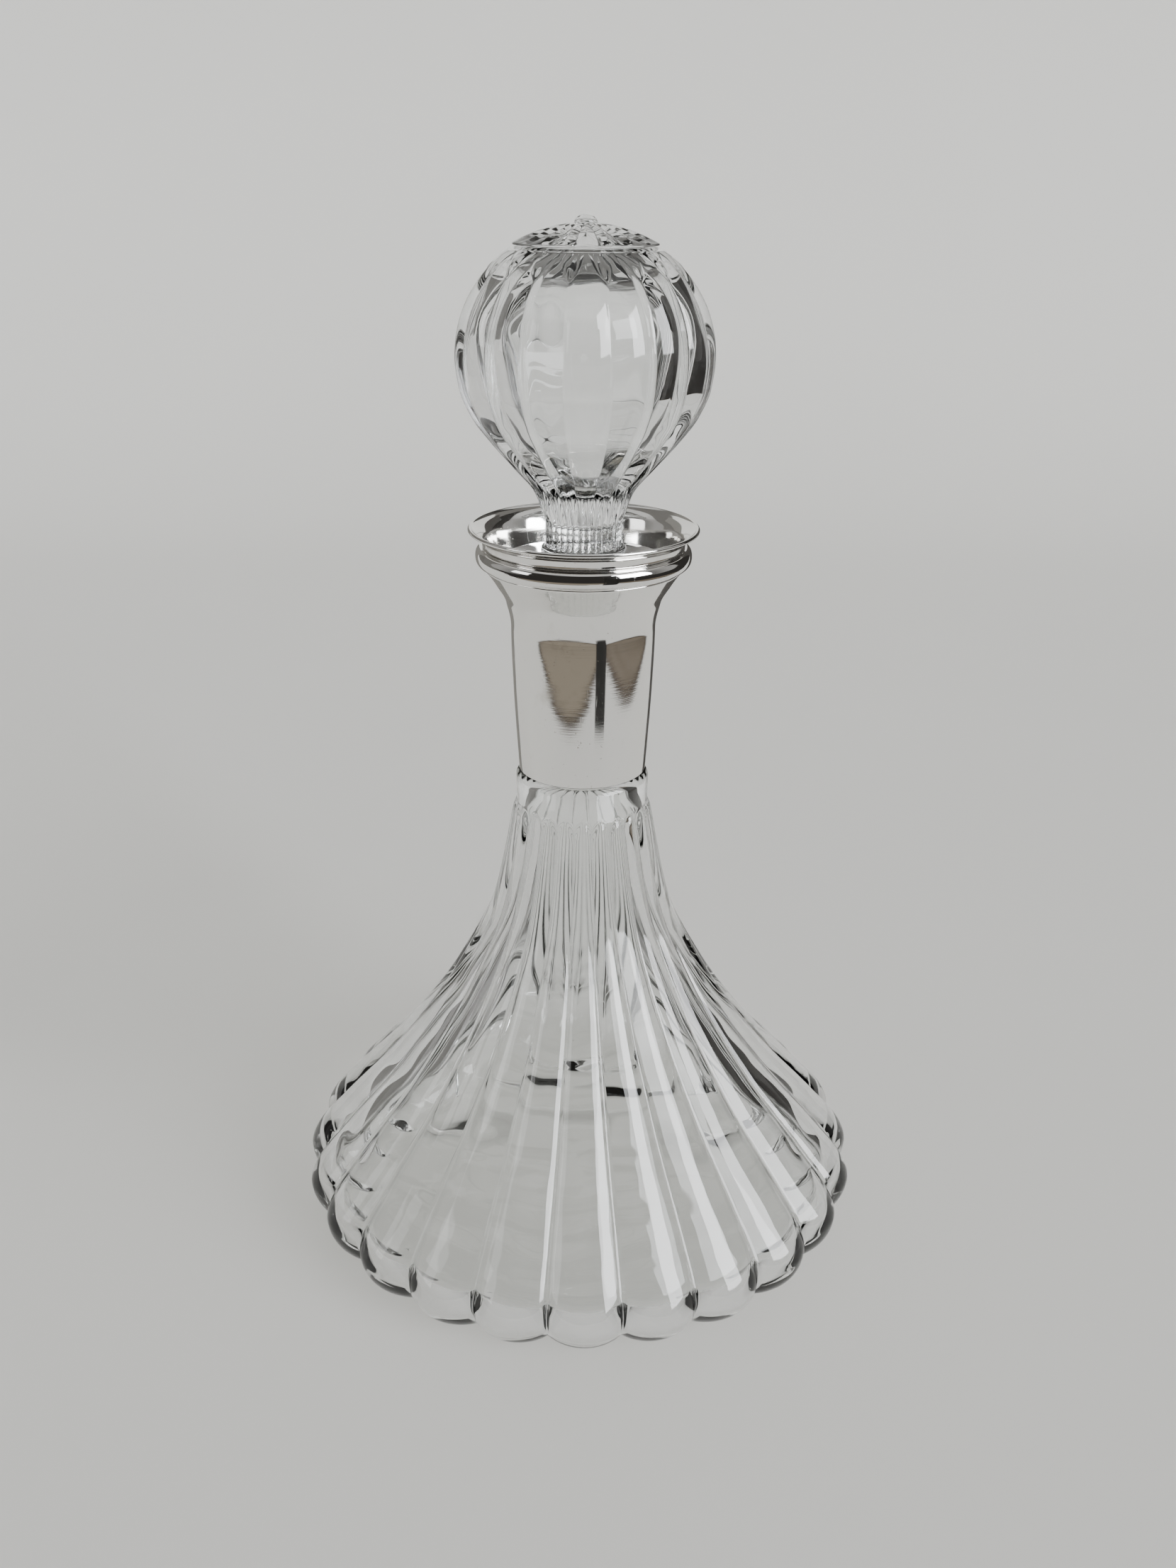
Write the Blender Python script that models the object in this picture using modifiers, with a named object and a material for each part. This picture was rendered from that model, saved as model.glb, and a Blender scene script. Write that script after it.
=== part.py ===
"""Ribbed glass decanter with a silver-plated pouring collar and a hollow ribbed ball stopper.

Metres, +Z up. The origin is at the middle of the foot, on the surface that the bottle stands on,
and one rib faces -Y. The stopper's peg turns in a clear sleeve that plugs the neck, and the sleeve
and stopper lift out together.
"""

import math

import bpy

# Bottle
BODY_RADIUS = 0.0790  # over the ribs, at the widest
BULGE_RADIUS = 0.0122  # rounding of the ribs' ends above the foot
SHOULDER_HEIGHT = 0.1220  # where the ribs run out under the neck ring
NECK_RADIUS = 0.0180  # over the ribs, where they run out
GLASS_WALL = 0.0045  # measured level, across the wall
FLOOR_THICKNESS = 0.0070
FLOOR_ROUNDING = 0.0100
FOOT_RADIUS = 0.0580  # inner edge of the ring that the bottle stands on
FOOT_HOLLOW = 0.0025  # rise of the underside inside that ring
BOTTLE_RIBS = 24
RING_RADIUS = 0.0175  # plain ring of glass below the collar
RING_HEIGHT = 0.0095
RING_ROUNDING = 0.0020
SPIGOT_RADIUS = 0.0142  # the neck inside the collar
SPIGOT_HEIGHT = 0.0400
BORE_RADIUS = 0.0114
LIP_ROUNDING = 0.0010

# Collar
COLLAR_HEIGHT = 0.0640
COLLAR_FOOT_RADIUS = 0.0167
COLLAR_FOOT_WALL = 0.0010
COLLAR_WAIST_RADIUS = 0.0184
COLLAR_WAIST_RISE = 0.0395  # from the lower edge up to the waist, where the flare starts
COLLAR_WALL = 0.0018
RIM_RADIUS = 0.0288
RIM_EDGE = 0.0010  # thickness of the rolled edge
COVE_HEIGHT = 0.0048  # from the rim down to the bead
BEAD_SEAT_RADIUS = 0.0246
BEAD_HEIGHT = 0.0046
BEAD_DEPTH = 0.0022
CEMENT_SHORTFALL = 0.0040  # the cement stops this far below the neck's lip

# Sleeve and stopper
SLEEVE_WALL = 0.0012
SLEEVE_LENGTH = 0.0260
SLEEVE_FLANGE_THICKNESS = 0.0012
SLEEVE_FLANGE_WIDTH = 0.0020
STOPPER_STANDOFF = 0.0173  # from the neck's lip up to the underside of the stopper's flange
FLANGE_THICKNESS = 0.0022
FLANGE_RADIUS = 0.0106
STEM_RADIUS = 0.0096
STEM_HEIGHT = 0.0070  # from the flange up to the bottom of the ball
PEG_LENGTH = 0.0400  # from the flange down to the peg's end
BALL_RADIUS = 0.0309
BALL_LOW = 0.0385  # from the ball's widest level down to the stem
BALL_HIGH = 0.0290  # half-height above it, were the crown not cut off
BALL_WALL = 0.0060
CAVITY_LOW = 0.0080  # depth of the ball's hollow below its widest level
CAVITY_HIGH = 0.0212  # height of the hollow above it
CAVITY_MOUTH = 0.0035  # radius of the hole under the crown that the hollow opens through
STOPPER_RIBS = 18
CROWN_RADIUS = 0.0170  # at the seam between ball and crown
CROWN_EDGE = 0.0006
CROWN_RISE = 0.0042
KNOB_RADIUS = 0.0027
KNOB_HEIGHT = 0.0018

JOINT_GAP = 0.0003  # clearance between pieces that touch

# A rib is an arc of a circle: the share of the outer radius at which that circle is centred
BOTTLE_RIB_CENTRE = 0.844
STOPPER_RIB_CENTRE = 0.720
INNER_RIB_DEPTH = 0.75  # how much of the ribs' depth the inside of the bottle follows
CROWN_RIB_DEPTH = 1.6

# The shoulder's sweep: shares of the way up from the bulge and of the way in to the neck
SHOULDER_SWEEP = [(0.0, 0.0), (0.12, 0.15), (0.30, 0.437), (0.52, 0.71), (0.75, 0.905), (1.0, 1.0)]

# The ball's underside: shares of the way down to the stem and of the way in to the stem's radius
BALL_SWEEP = [(0.0, 0.0), (0.35, 0.16), (0.53, 0.41), (0.68, 0.63), (0.83, 0.87), (1.0, 1.0)]

STEPS_PER_RIB = 4
COLLAR_STEPS = 40
SLEEVE_STEPS = 32

# Heights that follow from the sizes above
RING_TOP = SHOULDER_HEIGHT + RING_HEIGHT
LIP_HEIGHT = RING_TOP + SPIGOT_HEIGHT
COLLAR_BOTTOM = RING_TOP + JOINT_GAP
RIM_TOP = COLLAR_BOTTOM + COLLAR_HEIGHT
BEAD_TOP = RIM_TOP - COVE_HEIGHT
BEAD_BOTTOM = BEAD_TOP - BEAD_HEIGHT
SLEEVE_SEAT = LIP_HEIGHT + JOINT_GAP
FLANGE_BOTTOM = LIP_HEIGHT + STOPPER_STANDOFF
FLANGE_TOP = FLANGE_BOTTOM + FLANGE_THICKNESS
BALL_MIDDLE = FLANGE_TOP + STEM_HEIGHT + BALL_LOW
SEAM_HEIGHT = BALL_MIDDLE + BALL_HIGH * math.sqrt(1 - (CROWN_RADIUS / BALL_RADIUS) ** 2)

# Radii that follow from them
SLEEVE_RADIUS = BORE_RADIUS - JOINT_GAP
PEG_RADIUS = SLEEVE_RADIUS - SLEEVE_WALL - JOINT_GAP


def new_collection(name):
    collection = bpy.data.collections.new(name)
    bpy.context.scene.collection.children.link(collection)
    return collection


def plain_material(name, colour, roughness, metallic=0.0, transmission=0.0):
    material = bpy.data.materials.new(name)
    material.use_nodes = True
    shader = material.node_tree.nodes["Principled BSDF"]
    shader.inputs["Base Color"].default_value = (*colour, 1.0)
    shader.inputs["Roughness"].default_value = roughness
    shader.inputs["Metallic"].default_value = metallic
    shader.inputs["Transmission Weight"].default_value = transmission
    return material


def smooth_curve(points, pieces):
    """Catmull-Rom curve through the points, with each stretch cut into `pieces`."""
    padded = [points[0]] + list(points) + [points[-1]]
    curve = []
    for index in range(1, len(padded) - 2):
        stretch = list(zip(*padded[index - 1:index + 3]))
        for step in range(pieces):
            t = step / pieces
            curve.append(tuple(
                b + 0.5 * t * (c - a + t * (2 * a - 5 * b + 4 * c - d + t * (3 * (b - c) + d - a)))
                for a, b, c, d in stretch))
    curve.append(tuple(points[-1]))
    return curve


def arc(centre, radii, first, last, pieces):
    """Points of an ellipse in the profile's plane, between two angles in degrees."""
    angles = [math.radians(first + (last - first) * step / pieces) for step in range(pieces + 1)]
    return [(centre[0] + radii[0] * math.cos(angle), centre[1] + radii[1] * math.sin(angle))
            for angle in angles]


def ribbed(points, depth):
    """Profile points (radius, height) with the share of the ribs' depth that each one takes."""
    return [(radius, height, depth) for radius, height in points]


def rib_radius(angle, ribs, centre):
    """Radius at an angle as a share of the radius over the ribs. One rib's middle is at -Y."""
    pitch = 2 * math.pi / ribs
    offset = (angle + math.pi / 2 + pitch / 2) % pitch - pitch / 2
    side = centre * math.sin(offset)
    return centre * math.cos(offset) + math.sqrt((1 - centre) ** 2 - side ** 2)


def turned(name, profile, steps, closed=False, ribs=0, centre=0.0):
    """Profile of (radius, height, rib depth) turned about Z by a Screw modifier, then ribbed."""
    outline = bpy.data.meshes.new(name + "_outline")
    edges = [(index, index + 1) for index in range(len(profile) - 1)]
    if closed:
        edges.append((len(profile) - 1, 0))
    outline.from_pydata([(radius, 0.0, height) for radius, height, depth in profile], edges, [])
    depths = outline.attributes.new("rib_depth", "FLOAT", "POINT")
    for index, point in enumerate(profile):
        depths.data[index].value = point[2]
    spinner = bpy.data.objects.new(name + "_outline", outline)
    bpy.context.scene.collection.objects.link(spinner)
    screw = spinner.modifiers.new("Turn", "SCREW")
    screw.axis = "Z"
    screw.steps = steps
    screw.render_steps = steps
    screw.use_merge_vertices = True
    screw.merge_threshold = 0.00001
    bpy.context.view_layer.update()
    graph = bpy.context.evaluated_depsgraph_get()
    mesh = bpy.data.meshes.new_from_object(spinner.evaluated_get(graph))
    mesh.name = name
    bpy.data.objects.remove(spinner)
    bpy.data.meshes.remove(outline)
    if ribs:
        draw_ribs(mesh, ribs, centre)
    return mesh


def draw_ribs(mesh, ribs, centre):
    """Draw each vertex in toward the axis by its own share of the ribs' depth."""
    depths = mesh.attributes["rib_depth"].data
    for vertex, depth in zip(mesh.vertices, depths):
        x, y, z = vertex.co
        shrink = 1 - depth.value * (1 - rib_radius(math.atan2(y, x), ribs, centre))
        vertex.co = (x * shrink, y * shrink, z)


def place(mesh, name, material, collection, parent=None, height=0.0):
    """Link a mesh as an object whose origin is on the axis at `height`, under `parent` if given."""
    for vertex in mesh.vertices:
        vertex.co.z -= height
    mesh.materials.clear()
    mesh.materials.append(material)
    mesh.shade_smooth()
    mesh.set_sharp_from_angle(angle=math.radians(35))
    piece = bpy.data.objects.new(name, mesh)
    collection.objects.link(piece)
    piece.parent = parent
    piece.location.z = height - (parent.matrix_world.translation.z if parent else 0.0)
    bpy.context.view_layer.update()
    return piece


def shoulder_outline():
    """Outside of the body over the ribs, from the neck ring down to the bulge's middle."""
    height = SHOULDER_HEIGHT - BULGE_RADIUS
    width = BODY_RADIUS - NECK_RADIUS
    points = [(BODY_RADIUS - inward * width, BULGE_RADIUS + up * height) for up, inward in SHOULDER_SWEEP]
    return smooth_curve(points, 2)[::-1]


def make_bottle(collection, material):
    outside = shoulder_outline()
    inside = [(radius - GLASS_WALL, height) for radius, height in outside
              if radius - GLASS_WALL > BORE_RADIUS and height > BULGE_RADIUS][::-1]
    low_radius, low_height = inside[0]
    floor_radius = low_radius - FLOOR_ROUNDING
    floor_round = arc((floor_radius, low_height), (FLOOR_ROUNDING, low_height - FLOOR_THICKNESS), -90, 0, 3)
    lip = arc((BORE_RADIUS + LIP_ROUNDING, LIP_HEIGHT - LIP_ROUNDING), (LIP_ROUNDING, LIP_ROUNDING), 180, 90, 2)
    lip += arc((SPIGOT_RADIUS - LIP_ROUNDING, LIP_HEIGHT - LIP_ROUNDING), (LIP_ROUNDING, LIP_ROUNDING), 90, 0, 2)
    ring = arc((RING_RADIUS - RING_ROUNDING, RING_TOP - RING_ROUNDING), (RING_ROUNDING, RING_ROUNDING), 90, 0, 2)
    foot = arc((BODY_RADIUS - BULGE_RADIUS, BULGE_RADIUS), (BULGE_RADIUS, BULGE_RADIUS), 0, -90, 4)
    profile = ribbed([(0.0, FLOOR_THICKNESS)], 0.0)
    profile += ribbed(floor_round[:-1] + inside[:-2], INNER_RIB_DEPTH)
    profile += ribbed(inside[-2:] + [(BORE_RADIUS, SHOULDER_HEIGHT + RING_HEIGHT / 2)] + lip, 0.0)
    profile += ribbed([(SPIGOT_RADIUS, RING_TOP)] + ring + [(RING_RADIUS, SHOULDER_HEIGHT + RING_HEIGHT / 4)], 0.0)
    profile += ribbed(outside[:1], 0.2)
    profile += ribbed(outside[1:-1] + foot, 1.0)
    profile += ribbed([(FOOT_RADIUS, 0.0), (FOOT_RADIUS - FOOT_HOLLOW, FOOT_HOLLOW), (0.0, FOOT_HOLLOW)], 0.0)
    mesh = turned("bottle", profile, STEPS_PER_RIB * BOTTLE_RIBS, ribs=BOTTLE_RIBS, centre=BOTTLE_RIB_CENTRE)
    return place(mesh, "bottle", material, collection)


def flare(waist_radius, seat_radius, top):
    """The collar's curve from the foot of the bead down to the waist."""
    spread = seat_radius - waist_radius
    waist = COLLAR_BOTTOM + COLLAR_WAIST_RISE
    drop = top - waist
    return smooth_curve([(seat_radius, top), (waist_radius + 0.62 * spread, top - 0.24 * drop),
                         (waist_radius + 0.20 * spread, top - 0.56 * drop), (waist_radius, waist)], 2)


def make_collar(collection, material):
    edge_radius = RIM_RADIUS - RIM_EDGE / 2
    edge = arc((edge_radius, RIM_TOP - RIM_EDGE / 2), (RIM_EDGE / 2, RIM_EDGE / 2), 150, -90, 4)
    cove = arc((edge_radius, BEAD_TOP), (edge_radius - BEAD_SEAT_RADIUS, COVE_HEIGHT - RIM_EDGE), 90, 180, 3)[1:]
    outside = flare(COLLAR_WAIST_RADIUS, BEAD_SEAT_RADIUS, BEAD_BOTTOM)
    foot = [(COLLAR_FOOT_RADIUS, COLLAR_BOTTOM), (COLLAR_FOOT_RADIUS - COLLAR_FOOT_WALL, COLLAR_BOTTOM)]
    inside = flare(COLLAR_WAIST_RADIUS - COLLAR_WALL, BEAD_SEAT_RADIUS - COLLAR_WALL, BEAD_BOTTOM)[::-1]
    dish = [(BEAD_SEAT_RADIUS - COLLAR_WALL / 3, BEAD_TOP)]
    profile = ribbed(edge + cove + outside + foot + inside + dish, 0.0)
    mesh = turned("collar", profile, COLLAR_STEPS, closed=True)
    return place(mesh, "collar", material, collection)


def make_bead(collection, material):
    """Half-round moulding that lies on the collar's seat."""
    middle = (BEAD_SEAT_RADIUS + JOINT_GAP, BEAD_TOP - BEAD_HEIGHT / 2)
    profile = ribbed(arc(middle, (BEAD_DEPTH, BEAD_HEIGHT / 2 - JOINT_GAP), 90, -90, 6), 0.0)
    mesh = turned("collar_bead", profile, COLLAR_STEPS, closed=True)
    return place(mesh, "collar_bead", material, collection)


def make_cement(collection, material):
    """Filling that bonds the collar to the neck: it lies in the space between the two."""
    inner = SPIGOT_RADIUS + JOINT_GAP
    low = COLLAR_FOOT_RADIUS - COLLAR_FOOT_WALL - JOINT_GAP
    high = COLLAR_WAIST_RADIUS - COLLAR_WALL - JOINT_GAP
    bottom = COLLAR_BOTTOM + JOINT_GAP
    waist = COLLAR_BOTTOM + COLLAR_WAIST_RISE
    top = min(LIP_HEIGHT - CEMENT_SHORTFALL, waist)
    share = (top - bottom) / (waist - bottom)
    profile = [(low + (high - low) * share, top), (low, bottom), (inner, bottom), (inner, top)]
    mesh = turned("cement_ring", ribbed(profile, 0.0), SLEEVE_STEPS, closed=True)
    return place(mesh, "cement_ring", material, collection)


def make_sleeve(collection, material, parent):
    inner = SLEEVE_RADIUS - SLEEVE_WALL
    flange = SLEEVE_RADIUS + SLEEVE_FLANGE_WIDTH
    top = SLEEVE_SEAT + SLEEVE_FLANGE_THICKNESS
    bottom = SLEEVE_SEAT - SLEEVE_LENGTH
    chamfer = SLEEVE_WALL / 3
    profile = [(inner, top), (flange - chamfer, top), (flange, top - chamfer), (flange, SLEEVE_SEAT),
               (SLEEVE_RADIUS, SLEEVE_SEAT), (SLEEVE_RADIUS, bottom + chamfer),
               (SLEEVE_RADIUS - chamfer, bottom), (inner, bottom)]
    mesh = turned("seal_sleeve", ribbed(profile, 0.0), SLEEVE_STEPS, closed=True)
    return place(mesh, "seal_sleeve", material, collection, parent, LIP_HEIGHT)


def make_ball(collection, material, parent):
    """The stopper's hollow ball, stem, flange and peg, open at the top where the crown closes it."""
    inner_radius = BALL_RADIUS - BALL_WALL
    seam_angle = math.degrees(math.acos(CROWN_RADIUS / BALL_RADIUS))
    mouth_angle = math.degrees(math.acos(CAVITY_MOUTH / inner_radius))
    cavity = arc((0.0, BALL_MIDDLE), (inner_radius, CAVITY_LOW), -90, 0, 4)[1:]
    cavity += arc((0.0, BALL_MIDDLE), (inner_radius, CAVITY_HIGH), 0, mouth_angle, 4)[1:]
    upper = arc((0.0, BALL_MIDDLE), (BALL_RADIUS, BALL_HIGH), seam_angle, 0, 4)[1:-1]
    lower = [(BALL_RADIUS - inward * (BALL_RADIUS - STEM_RADIUS), BALL_MIDDLE - down * BALL_LOW)
             for down, inward in BALL_SWEEP]
    peg_bottom = FLANGE_BOTTOM - PEG_LENGTH
    profile = ribbed([(0.0, BALL_MIDDLE - CAVITY_LOW)] + cavity, 0.0)
    profile += ribbed([(CAVITY_MOUTH, SEAM_HEIGHT), (CROWN_RADIUS, SEAM_HEIGHT)], 0.0)
    profile += ribbed(upper + lower + [(STEM_RADIUS, FLANGE_TOP)], 1.0)
    profile += ribbed([(FLANGE_RADIUS, FLANGE_TOP), (FLANGE_RADIUS, FLANGE_BOTTOM), (PEG_RADIUS, FLANGE_BOTTOM),
                       (PEG_RADIUS, peg_bottom), (0.0, peg_bottom)], 0.0)
    mesh = turned("stopper_ball", profile, STEPS_PER_RIB * STOPPER_RIBS, ribs=STOPPER_RIBS,
                  centre=STOPPER_RIB_CENTRE)
    return place(mesh, "stopper_ball", material, collection, parent, LIP_HEIGHT)


def make_crown(collection, material, ball):
    """Shallow fluted lid with a knob, bonded over the ball's open top."""
    seam = SEAM_HEIGHT + JOINT_GAP
    edge = seam + CROWN_EDGE
    peak = edge + CROWN_RISE
    knob_top = peak + KNOB_HEIGHT
    profile = ribbed([(0.0, knob_top), (KNOB_RADIUS * 0.7, knob_top), (KNOB_RADIUS, knob_top - KNOB_HEIGHT / 2),
                      (KNOB_RADIUS, peak)], 0.0)
    profile += ribbed([(CROWN_RADIUS * 0.6, edge + CROWN_RISE * 0.55)], CROWN_RIB_DEPTH)
    profile += ribbed([(CROWN_RADIUS, edge), (CROWN_RADIUS, seam), (0.0, seam)], 0.0)
    mesh = turned("stopper_crown", profile, STEPS_PER_RIB * STOPPER_RIBS, ribs=STOPPER_RIBS,
                  centre=STOPPER_RIB_CENTRE)
    return place(mesh, "stopper_crown", material, collection, ball, LIP_HEIGHT)


def build():
    for old in list(bpy.data.objects):
        bpy.data.objects.remove(old)
    parts = new_collection("decanter")
    bottle_glass = plain_material("bottle_glass", (0.93, 0.95, 0.94), 0.02, transmission=1.0)
    ball_glass = plain_material("ball_glass", (0.93, 0.95, 0.94), 0.03, transmission=1.0)
    crown_glass = plain_material("crown_glass", (0.92, 0.94, 0.94), 0.03, transmission=1.0)
    silver = plain_material("silver_plate", (0.83, 0.80, 0.75), 0.22, metallic=1.0)
    bead_silver = plain_material("bead_silver", (0.80, 0.78, 0.74), 0.12, metallic=1.0)
    plaster = plain_material("plaster", (0.80, 0.78, 0.72), 0.85)
    plastic = plain_material("clear_plastic", (0.90, 0.91, 0.90), 0.25, transmission=0.8)

    lift = bpy.data.objects.new("stopper_lift", None)
    lift.location = (0.0, 0.0, LIP_HEIGHT)
    lift.empty_display_size = 0.02
    parts.objects.link(lift)
    bpy.context.view_layer.update()

    make_bottle(parts, bottle_glass)
    make_collar(parts, silver)
    make_bead(parts, bead_silver)
    make_cement(parts, plaster)
    make_sleeve(parts, plastic, lift)
    ball = make_ball(parts, ball_glass, lift)
    make_crown(parts, crown_glass, ball)


build()
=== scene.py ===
import math

import bpy
from mathutils import Matrix, Vector


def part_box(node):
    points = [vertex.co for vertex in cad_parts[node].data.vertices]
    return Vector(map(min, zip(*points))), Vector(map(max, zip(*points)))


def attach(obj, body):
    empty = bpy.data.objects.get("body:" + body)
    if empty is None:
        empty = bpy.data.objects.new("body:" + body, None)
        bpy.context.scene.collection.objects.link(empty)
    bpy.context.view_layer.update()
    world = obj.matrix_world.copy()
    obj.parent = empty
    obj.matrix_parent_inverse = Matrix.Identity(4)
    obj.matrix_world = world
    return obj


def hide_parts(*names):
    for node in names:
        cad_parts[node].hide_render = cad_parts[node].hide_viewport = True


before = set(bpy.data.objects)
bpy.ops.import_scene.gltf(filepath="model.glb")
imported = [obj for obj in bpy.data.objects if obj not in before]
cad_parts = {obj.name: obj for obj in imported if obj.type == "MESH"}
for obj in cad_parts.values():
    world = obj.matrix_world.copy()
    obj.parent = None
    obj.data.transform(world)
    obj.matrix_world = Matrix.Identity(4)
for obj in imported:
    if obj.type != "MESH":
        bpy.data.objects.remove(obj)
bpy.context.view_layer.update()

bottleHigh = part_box("bottle")[1]
collarLow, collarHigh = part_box("collar")
beadLow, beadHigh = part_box("collar_bead")
sleeveLow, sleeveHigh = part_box("seal_sleeve")
ballLow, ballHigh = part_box("stopper_ball")
crownLow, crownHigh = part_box("stopper_crown")
print("frame loaded:", ", ".join(sorted(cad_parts)))


def ellipseArc(centre, radii, first, last, count):
    angles = [math.radians(first + (last - first) * i / count) for i in range(count + 1)]
    return [(centre[0] + radii[0] * math.cos(a), centre[1] + radii[1] * math.sin(a)) for a in angles]


def easedCurve(knots, count, startSlope=None, endSlope=None):
    # monotone cubic through (x, y) knots, so it never overshoots between them
    xs = [k[0] for k in knots]
    ys = [k[1] for k in knots]
    steps = [xs[i + 1] - xs[i] for i in range(len(xs) - 1)]
    secants = [(ys[i + 1] - ys[i]) / steps[i] for i in range(len(steps))]
    slopes = [secants[0] if startSlope is None else startSlope]
    for a, b in zip(secants, secants[1:]):
        slopes.append(2 * a * b / (a + b) if a * b > 0 else 0.0)
    slopes.append(secants[-1] if endSlope is None else endSlope)
    points = []
    for i in range(count + 1):
        x = xs[0] + (xs[-1] - xs[0]) * i / count
        k = min(len(steps) - 1, max(0, sum(1 for knot in xs[1:-1] if knot <= x)))
        t = (x - xs[k]) / steps[k]
        y = ((1 + 2 * t) * (1 - t) ** 2 * ys[k] + t * (1 - t) ** 2 * steps[k] * slopes[k]
             + t * t * (3 - 2 * t) * ys[k + 1] + t * t * (t - 1) * steps[k] * slopes[k + 1])
        points.append((x, y))
    return points


def smoothStep(low, high, value):
    t = min(1.0, max(0.0, (value - low) / (high - low)))
    return t * t * (3 - 2 * t)


def spin(name, profile, steps, shape=None, closed=False):
    # profile runs down the outer side; shape(angle, radius, height, tag) moves each point
    verts, rings = [], []
    for radius, height, tag in profile:
        if radius < 1e-7:
            rings.append([len(verts)] * steps)
            verts.append((0.0, 0.0, height))
            continue
        ring = []
        for i in range(steps):
            angle = 2 * math.pi * i / steps - math.pi / 2
            r, z = shape(angle, radius, height, tag) if shape else (radius, height)
            ring.append(len(verts))
            verts.append((r * math.cos(angle), r * math.sin(angle), z))
        rings.append(ring)
    pairs = list(zip(rings, rings[1:]))
    if closed:
        pairs.append((rings[-1], rings[0]))
    faces = []
    for upper, lower in pairs:
        for i in range(steps):
            j = (i + 1) % steps
            corners = [upper[i], lower[i], lower[j], upper[j]]
            face = [c for k, c in enumerate(corners) if c not in corners[:k]]
            if len(face) > 2:
                faces.append(face)
    mesh = bpy.data.meshes.new(name)
    mesh.from_pydata(verts, [], faces)
    mesh.shade_smooth()
    piece = bpy.data.objects.new(name, mesh)
    bpy.context.scene.collection.objects.link(piece)
    return piece


def tagged(points, tag):
    return [(r, z, tag) for r, z in points]


def ribRadius(angle, ribs, centre):
    # one rib's section is an arc, so neighbours meet in a sharp valley; a rib's middle faces -Y
    pitch = 2 * math.pi / ribs
    offset = (angle + math.pi / 2 + pitch / 2) % pitch - pitch / 2
    return centre * math.cos(offset) + math.sqrt((1 - centre) ** 2 - (centre * math.sin(offset)) ** 2)


def ribOffset(angle, ribs):
    # 0 in the middle of a rib, 1 in the valley beside it
    pitch = 2 * math.pi / ribs
    return abs((angle + math.pi / 2 + pitch / 2) % pitch - pitch / 2) / (pitch / 2)


def newGroup(name, inputs, outputs):
    group = bpy.data.node_groups.new(name, "ShaderNodeTree")
    for label, kind, value in inputs:
        socket = group.interface.new_socket(name=label, in_out="INPUT", socket_type=kind)
        socket.default_value = value
    for label, kind in outputs:
        group.interface.new_socket(name=label, in_out="OUTPUT", socket_type=kind)
    return group, group.nodes.new("NodeGroupInput"), group.nodes.new("NodeGroupOutput")


def mathNode(tree, operation, a, b=None):
    node = tree.nodes.new("ShaderNodeMath")
    node.operation = operation
    for socket, value in zip(node.inputs, (a, b)):
        if value is None:
            continue
        if isinstance(value, (int, float)):
            socket.default_value = value
        else:
            tree.links.new(value, socket)
    return node.outputs[0]


def objectCoords(tree, stretch=(1.0, 1.0, 1.0)):
    coords = tree.nodes.new("ShaderNodeTexCoord")
    mapping = tree.nodes.new("ShaderNodeMapping")
    mapping.inputs["Scale"].default_value = stretch
    tree.links.new(coords.outputs["Object"], mapping.inputs["Vector"])
    return mapping.outputs["Vector"]


def noiseNode(tree, vector, scale, detail=2.0, roughness=0.5):
    noise = tree.nodes.new("ShaderNodeTexNoise")
    noise.inputs["Scale"].default_value = scale
    noise.inputs["Detail"].default_value = detail
    noise.inputs["Roughness"].default_value = roughness
    tree.links.new(vector, noise.inputs["Vector"])
    return noise.outputs["Fac"]


def rangeNode(tree, value, fromLow, fromHigh, toLow, toHigh):
    node = tree.nodes.new("ShaderNodeMapRange")
    tree.links.new(value, node.inputs["Value"])
    ends = {"From Min": fromLow, "From Max": fromHigh, "To Min": toLow, "To Max": toHigh}
    for label, number in ends.items():
        if isinstance(number, (int, float)):
            node.inputs[label].default_value = number
        else:
            tree.links.new(number, node.inputs[label])
    return node.outputs[0]


def pressedGlassGroup():
    # slow waves left by the mould, and finger smudges that dull the polish a little
    group, given, made = newGroup("pressedGlass", [
        ("Wave Scale", "NodeSocketFloat", 60.0), ("Smudge Scale", "NodeSocketFloat", 45.0),
        ("Clean Roughness", "NodeSocketFloat", 0.0), ("Smudged Roughness", "NodeSocketFloat", 0.05)],
        [("Wave", "NodeSocketFloat"), ("Roughness", "NodeSocketFloat")])
    wave = group.nodes.new("ShaderNodeTexNoise")
    wave.inputs["Detail"].default_value = 1.0
    group.links.new(objectCoords(group, (1.0, 1.0, 0.35)), wave.inputs["Vector"])
    group.links.new(given.outputs["Wave Scale"], wave.inputs["Scale"])
    smudge = group.nodes.new("ShaderNodeTexNoise")
    smudge.inputs["Detail"].default_value = 4.0
    smudge.inputs["Roughness"].default_value = 0.6
    group.links.new(objectCoords(group), smudge.inputs["Vector"])
    group.links.new(given.outputs["Smudge Scale"], smudge.inputs["Scale"])
    dull = rangeNode(group, smudge.outputs["Fac"], 0.55, 0.75, given.outputs["Clean Roughness"],
                     given.outputs["Smudged Roughness"])
    group.links.new(wave.outputs["Fac"], made.inputs["Wave"])
    group.links.new(dull, made.inputs["Roughness"])
    return group


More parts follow.
